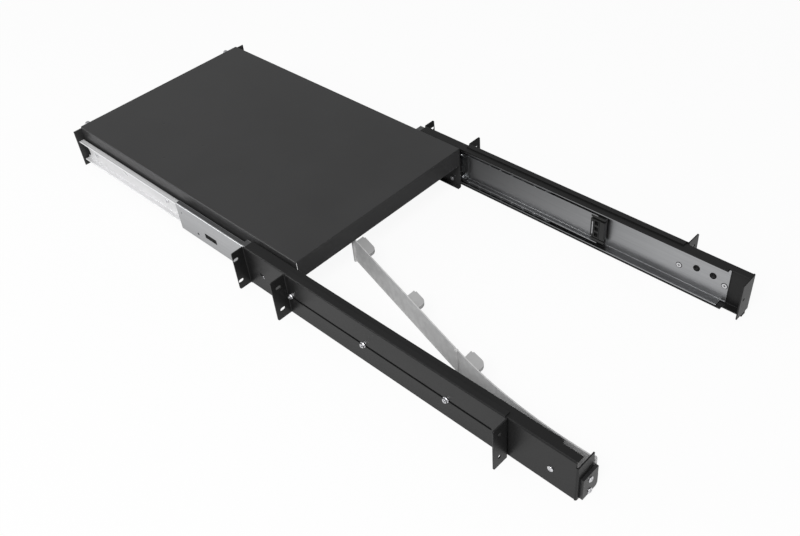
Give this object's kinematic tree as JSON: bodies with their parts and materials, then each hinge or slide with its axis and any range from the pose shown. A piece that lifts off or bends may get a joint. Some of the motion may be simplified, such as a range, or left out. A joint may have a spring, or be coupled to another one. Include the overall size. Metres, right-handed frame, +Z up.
{
  "type": "sliding rack shelf",
  "caption": "Sliding shelf for a 19-inch rack on telescopic ball slides, with rail channels, adjustable rear brackets and a folding cable arm.",
  "frame": {"origin": "middle of the four front rack slots, on the rear faces of the front ears", "axes": "+Y to the rear along the slides, +Z up, +X to the right seen from the front"},
  "size_m": [0.49, 1.187, 0.0856],
  "materials": {
    "channel_paint": "satin black powder coat",
    "bracket_paint": "satin black powder coat",
    "tray_paint": "satin black powder coat",
    "hinge_plate_paint": "satin black powder coat",
    "fixing_zinc": "bright zinc plate",
    "cabinet_member_steel": "rolled, zinc plated",
    "intermediate_member_steel": "rolled, zinc plated",
    "tray_member_steel": "rolled, bright zinc plated",
    "cage_steel": "bare pressed steel",
    "ball_steel": "polished",
    "knob_steel": "turned",
    "arm_steel": "zinc plated, slightly dull",
    "pin_steel": "bare",
    "clip_plastic": "light grey, matt",
    "stop_plastic": "black, matt"
  },
  "bodies": {
    "rails": {"channel_right": "channel_paint", "channel_left": "channel_paint", "cabinet_member_right": "cabinet_member_steel", "cabinet_member_left": "cabinet_member_steel", "slide_screws_right": "fixing_zinc", "slide_screws_left": "fixing_zinc", "bracket_studs_right": "fixing_zinc", "bracket_studs_left": "fixing_zinc", "bracket_washers_right": "fixing_zinc", "bracket_washers_left": "fixing_zinc", "bracket_nuts_right": "fixing_zinc", "bracket_nuts_left": "fixing_zinc", "arm_hinge_plate": "hinge_plate_paint", "arm_hinge_pin": "pin_steel", "hinge_plate_screws": "fixing_zinc", "hinge_plate_nuts": "fixing_zinc"},
    "bracket_right": {"adjustable_bracket_right": "bracket_paint"},
    "bracket_left": {"adjustable_bracket_left": "bracket_paint"},
    "tray": {"shelf_tray": "tray_paint", "front_panel": "tray_paint", "panel_knobs": "knob_steel", "knob_screws": "fixing_zinc", "tray_member_right": "tray_member_steel", "tray_member_left": "tray_member_steel", "tray_screws_right": "fixing_zinc", "tray_screws_left": "fixing_zinc", "tray_nuts_right": "fixing_zinc", "tray_nuts_left": "fixing_zinc", "arm_tray_bracket": "tray_paint"},
    "slide_middle_right": {"intermediate_member_right": "intermediate_member_steel", "stop_block_right": "stop_plastic"},
    "slide_middle_left": {"intermediate_member_left": "intermediate_member_steel", "stop_block_left": "stop_plastic"},
    "outer_cage_right": {"outer_cage_right": "cage_steel", "outer_balls_right": "ball_steel"},
    "outer_cage_left": {"outer_cage_left": "cage_steel", "outer_balls_left": "ball_steel"},
    "inner_cage_right": {"inner_cage_right": "cage_steel", "inner_balls_right": "ball_steel"},
    "inner_cage_left": {"inner_cage_left": "cage_steel", "inner_balls_left": "ball_steel"},
    "arm_rear": {"arm_rear_link": "arm_steel", "rear_link_clip": "clip_plastic", "elbow_pin": "pin_steel"},
    "arm_front": {"arm_front_link": "arm_steel", "front_link_clips": "clip_plastic"}
  },
  "joints": [
    {"name": "tray_slide", "type": "slide", "parent": "rails", "child": "tray", "axis": [0, 1, 0], "range_m": [0, 0.51]},
    {"name": "bracket_right_slide", "type": "slide", "parent": "rails", "child": "bracket_right", "axis": [0, 1, 0], "range_m": [-0.075, 0]},
    {"name": "bracket_left_slide", "type": "slide", "parent": "rails", "child": "bracket_left", "axis": [0, 1, 0], "range_m": [-0.075, 0]},
    {"name": "slide_middle_right_slide", "type": "slide", "parent": "rails", "child": "slide_middle_right", "axis": [0, 1, 0], "range_m": [0, 0.1989]},
    {"name": "outer_cage_right_slide", "type": "slide", "parent": "rails", "child": "outer_cage_right", "axis": [0, 1, 0], "range_m": [0, 0.09945]},
    {"name": "inner_cage_right_slide", "type": "slide", "parent": "rails", "child": "inner_cage_right", "axis": [0, 1, 0], "range_m": [0, 0.35445]},
    {"name": "slide_middle_left_slide", "type": "slide", "parent": "rails", "child": "slide_middle_left", "axis": [0, 1, 0], "range_m": [0, 0.1989]},
    {"name": "outer_cage_left_slide", "type": "slide", "parent": "rails", "child": "outer_cage_left", "axis": [0, 1, 0], "range_m": [0, 0.09945]},
    {"name": "inner_cage_left_slide", "type": "slide", "parent": "rails", "child": "inner_cage_left", "axis": [0, 1, 0], "range_m": [0, 0.35445]},
    {"name": "arm_rear_swing", "type": "hinge", "parent": "rails", "child": "arm_rear", "pos_m": [0.175, 0.6394, -0.016], "axis": [0, 0, 1], "range_deg": [-171.92, 0]},
    {"name": "arm_elbow", "type": "hinge", "parent": "arm_rear", "child": "arm_front", "pos_m": [0.14769, 0.38798, -0.016], "axis": [0, 0, 1], "range_deg": [0, 168.16]}
  ],
  "couplings": [
    {"joint": "slide_middle_right_slide", "follows": "tray_slide", "ratio": 0.39},
    {"joint": "outer_cage_right_slide", "follows": "tray_slide", "ratio": 0.195},
    {"joint": "inner_cage_right_slide", "follows": "tray_slide", "ratio": 0.695},
    {"joint": "slide_middle_left_slide", "follows": "tray_slide", "ratio": 0.39},
    {"joint": "outer_cage_left_slide", "follows": "tray_slide", "ratio": 0.195},
    {"joint": "inner_cage_left_slide", "follows": "tray_slide", "ratio": 0.695},
    {"joint": "arm_rear_swing", "follows": "tray_slide", "rad_per_m": -5.8832},
    {"joint": "arm_elbow", "follows": "tray_slide", "rad_per_m": 5.7545}
  ]
}
